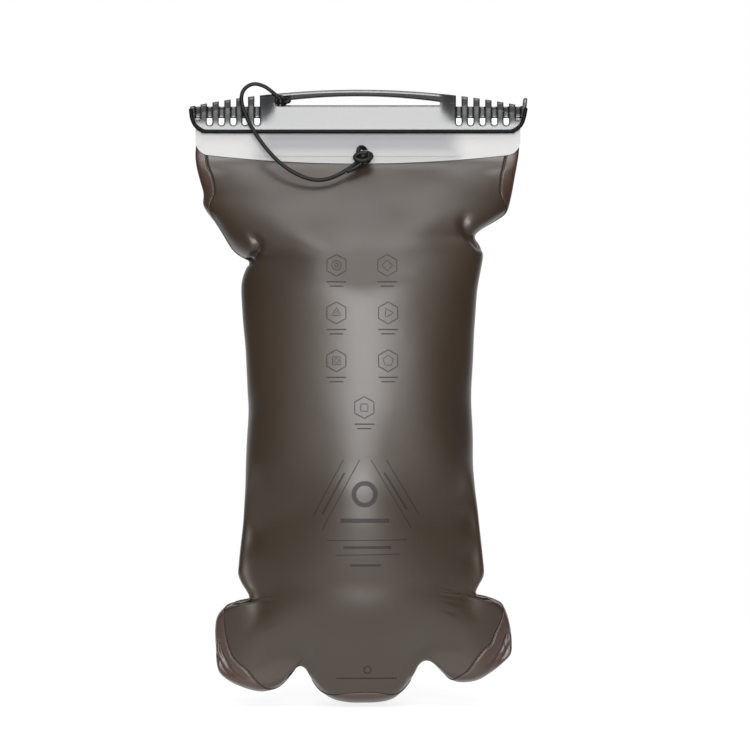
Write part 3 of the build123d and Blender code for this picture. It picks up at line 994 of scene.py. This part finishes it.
FRONT_TREE = BVHTree.FromPolygons(
    [v.co[:] for v in front_film.data.vertices], [tuple(f.vertices) for f in front_film.data.polygons]
)
INK_RAISE = 0.06
INK_SINK = 0.15


def on_film(x, z, out):
    """The place at x and height z that stands out from the front film."""
    hit = FRONT_TREE.ray_cast(Vector(place(x, -90, z)), Vector((0, 1, 0)))[0]
    return (x * MM, hit.y - out * MM, BASE_Z + z * MM)


def stroke(points, faces, line, width, closed=False, step=1.5):
    """Adds one line of ink, as a thin closed strip that follows the film."""
    line = [np.array(p, float) for p in line] + ([np.array(line[0], float)] if closed else [])
    path = []
    for a, b in zip(line, line[1:]):
        pieces = max(1, round(np.linalg.norm(b - a) / step))
        path += [a + (b - a) * t / pieces for t in range(pieces)]
    if not closed:
        path.append(line[-1])
    count = len(path)
    start = len(points)
    for i, spot in enumerate(path):
        before = path[i - 1] if closed or i else spot
        after = path[(i + 1) % count] if closed or i < count - 1 else spot
        way = (after - before) / np.linalg.norm(after - before)
        side = np.array([-way[1], way[0]]) * width / 2
        for sign, out in ((-1, INK_RAISE), (1, INK_RAISE), (1, -INK_SINK), (-1, -INK_SINK)):
            points.append(on_film(*(spot + sign * side), out))
    for i in range(count if closed else count - 1):
        here, there = start + 4 * i, start + 4 * ((i + 1) % count)
        for k in range(4):
            faces.append((here + k, there + k, there + (k + 1) % 4, here + (k + 1) % 4))
    if not closed:
        faces.append((start, start + 1, start + 2, start + 3))
        last = start + 4 * (count - 1)
        faces.append((last + 3, last + 2, last + 1, last))


def polygon(centre, radius, sides, turn=0.0):
    return [
        (centre[0] + radius * math.sin(turn + 2 * math.pi * k / sides),
         centre[1] + radius * math.cos(turn + 2 * math.pi * k / sides))
        for k in range(sides)
    ]


def badge(points, faces, centre, mark):
    """A hexagon with a plain mark in it, and two short bars below."""
    stroke(points, faces, polygon(centre, 6.1, 6), 0.6, closed=True)
    for sides, radius, turn in mark:
        stroke(points, faces, polygon(centre, radius, sides, turn), 0.5, closed=True)
    for drop, half in ((9.2, 5.4), (11.6, 3.8)):
        x, z = centre[0], centre[1] - drop
        stroke(points, faces, [(x - half, z), (x + half, z)], 0.8)


BADGES = [
    ((-11.8, 245.8), [(24, 2.6, 0), (24, 1.0, 0)]),
    ((16.4, 245.8), [(4, 3.0, 0)]),
    ((-11.8, 219.3), [(3, 3.0, 0), (3, 1.2, 0)]),
    ((16.9, 219.3), [(3, 3.0, math.pi / 2)]),
    ((-11.8, 192.8), [(4, 3.0, math.pi / 4), (4, 1.4, 0)]),
    ((16.9, 192.8), [(5, 3.0, 0)]),
    ((3.7, 166.9), [(4, 2.8, math.pi / 4)]),
]


def front_print():
    """Seven plain badges, a triangle of paired lines round a ring, and plain bars, in dark ink."""
    points, faces = [], []
    for centre, mark in BADGES:
        badge(points, faces, centre, mark)
    for a, b in (
        ((-7.9, 138.1), (-24.5, 107.1)), ((1.1, 138.1), (-19.7, 99.2)),
        ((7.3, 138.1), (29.6, 100.4)), ((15.8, 138.1), (33.8, 108.0)),
        ((-16.9, 93.3), (27.1, 93.6)), ((-12.4, 85.1), (23.1, 85.7)),
    ):
        stroke(points, faces, [a, b], 0.55)
    for a, b in (((-7.3, 130.8), (-19.7, 107.7)), ((14.7, 131.0), (27.3, 110.5))):
        stroke(points, faces, [a, b], 1.1)
    stroke(points, faces, polygon((3.9, 119.0), 6.0, 40), 2.6, closed=True, step=1.0)
    stroke(points, faces, polygon((5.4, 20.0), 2.0, 24), 0.7, closed=True, step=0.8)
    stroke(points, faces, [(-12.0, 15.0), (22.0, 15.0)], 0.8)
    stroke(points, faces, [(-9.5, 104.3), (17.5, 104.3)], 2.4)
    stroke(points, faces, [(-8.0, 89.4), (18.5, 89.5)], 1.6)
    stroke(points, faces, [(-4.0, 79.5), (13.0, 79.5)], 1.2)
    obj = mesh_object("front_print", points, faces, smooth=False)
    work = bmesh.new()
    work.from_mesh(obj.data)
    bmesh.ops.recalc_face_normals(work, faces=work.faces)
    work.to_mesh(obj.data)
    work.free()
    obj.data.materials.append(PRINT_INK)
    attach(obj, "reservoir")


front_print()


# ---- Stage ---------------------------------------------------------------------------------------


def camera():
    data = bpy.data.cameras.new("camera")
    obj = bpy.data.objects.new("camera", data)
    SCENE.collection.objects.link(obj)
    data.sensor_width = 36
    distance = 2.2
    width = 0.4229
    data.lens = data.sensor_width * distance / width
    aim = Vector((9.6 * MM, MID_Y, BASE_Z + 184.9 * MM))
    obj.location = aim + Vector((0, -distance, 0))
    obj.rotation_euler = (math.pi / 2, 0, 0)
    SCENE.camera = obj


def world():
    """White behind and above, dark at the sides, so that the gloss has light edges and dark flanks."""
    made = bpy.data.worlds.new("studio")
    SCENE.world = made
    made.use_nodes = True
    tree = made.node_tree
    tree.nodes.clear()
    way = add(tree, "ShaderNodeTexCoord").outputs["Generated"]
    parts = add(tree, "ShaderNodeSeparateXYZ", {"Vector": way}).outputs
    behind = add(tree, "ShaderNodeMapRange", {
        "Value": parts["Y"], "From Min": 0.45, "From Max": 0.95, "To Min": 0.04, "To Max": 1.1,
    }, interpolation_type="SMOOTHSTEP").outputs["Result"]
    above = add(tree, "ShaderNodeMapRange", {
        "Value": parts["Z"], "From Min": 0.35, "From Max": 0.95, "To Min": 0.0, "To Max": 0.35,
    }, interpolation_type="SMOOTHSTEP").outputs["Result"]
    ahead = add(tree, "ShaderNodeMapRange", {
        "Value": parts["Y"], "From Min": -0.6, "From Max": -0.92, "To Max": 0.45,
    }, interpolation_type="SMOOTHSTEP").outputs["Result"]
    sides = add(tree, "ShaderNodeMath", {0: behind, 1: above}, operation="ADD").outputs[0]
    total = add(tree, "ShaderNodeMath", {0: sides, 1: ahead}, operation="ADD").outputs[0]
    eye = add(tree, "ShaderNodeLightPath").outputs["Is Camera Ray"]
    room = add(tree, "ShaderNodeBackground", {"Color": (1, 1, 1, 1), "Strength": total})
    white = add(tree, "ShaderNodeBackground", {"Color": (1, 1, 1, 1), "Strength": 1.0})
    both = add(tree, "ShaderNodeMixShader", {0: eye, 1: room.outputs[0], 2: white.outputs[0]})
    add(tree, "ShaderNodeOutputWorld", {"Surface": both.outputs[0]})


def softbox(name, spot, aim, width, height, power):
    data = bpy.data.lights.new(name, "AREA")
    data.shape = "RECTANGLE"
    data.size = width
    data.size_y = height
    data.energy = power
    obj = bpy.data.objects.new(name, data)
    SCENE.collection.objects.link(obj)
    obj.location = spot
    obj.rotation_euler = (Vector(aim) - Vector(spot)).to_track_quat("-Z", "Y").to_euler()


def floor():
    """A plain pale floor, just under the bag: a light table, brightest in front of the bag's middle."""
    size = 0.75
    height = BASE_Z - 1.5 * MM
    obj = mesh_object("floor", [(-size, -size, height), (size, -size, height), (size, size, height),
                                (-size, size, height)], [(0, 1, 2, 3)], smooth=False)
    table = plain("white acrylic light table", "a0a0a0", Roughness=0.9)
    shader = table.node_tree.nodes["Principled BSDF"]
    shader.inputs["Emission Color"].default_value = (1, 1, 1, 1)
    eye = add(table.node_tree, "ShaderNodeLightPath").outputs["Is Camera Ray"]
    where = add(table.node_tree, "ShaderNodeTexCoord").outputs["Object"]
    parts = add(table.node_tree, "ShaderNodeSeparateXYZ", {"Vector": where}).outputs
    across = add(table.node_tree, "ShaderNodeMath", {0: parts["X"]}, operation="ABSOLUTE").outputs[0]
    centre = add(table.node_tree, "ShaderNodeMapRange", {
        "Value": across, "From Min": 0.06, "From Max": 0.24, "To Min": 0.9, "To Max": 0.05,
    }, interpolation_type="SMOOTHSTEP").outputs["Result"]
    far = add(table.node_tree, "ShaderNodeMapRange", {
        "Value": parts["Y"], "From Min": -0.05, "From Max": 0.12, "To Min": centre, "To Max": 1.1,
    }).outputs["Result"]
    near = add(table.node_tree, "ShaderNodeMath", {0: eye, 1: 0.72}, operation="MULTIPLY").outputs[0]
    unseen = add(table.node_tree, "ShaderNodeMath", {0: 1.0, 1: eye}, operation="SUBTRACT").outputs[0]
    glow = add(table.node_tree, "ShaderNodeMath", {
        0: unseen, 1: far, 2: near,
    }, operation="MULTIPLY_ADD").outputs[0]
    table.node_tree.links.new(glow, shader.inputs["Emission Strength"])
    obj.data.materials.append(table)


camera()
world()
floor()
middle = (0, MID_Y, BASE_Z + 0.18)
softbox("front softbox", (0.0, -2.6, BASE_Z + 0.66), middle, 1.1, 1.3, 73)
softbox("overhead front softbox", (0.0, -1.5, BASE_Z + 2.1), middle, 1.0, 0.9, 22)
softbox("top softbox", (0, 0.1, BASE_Z + 1.9), middle, 2.2, 2.2, 15)
SCENE.view_settings.view_transform = "Standard"
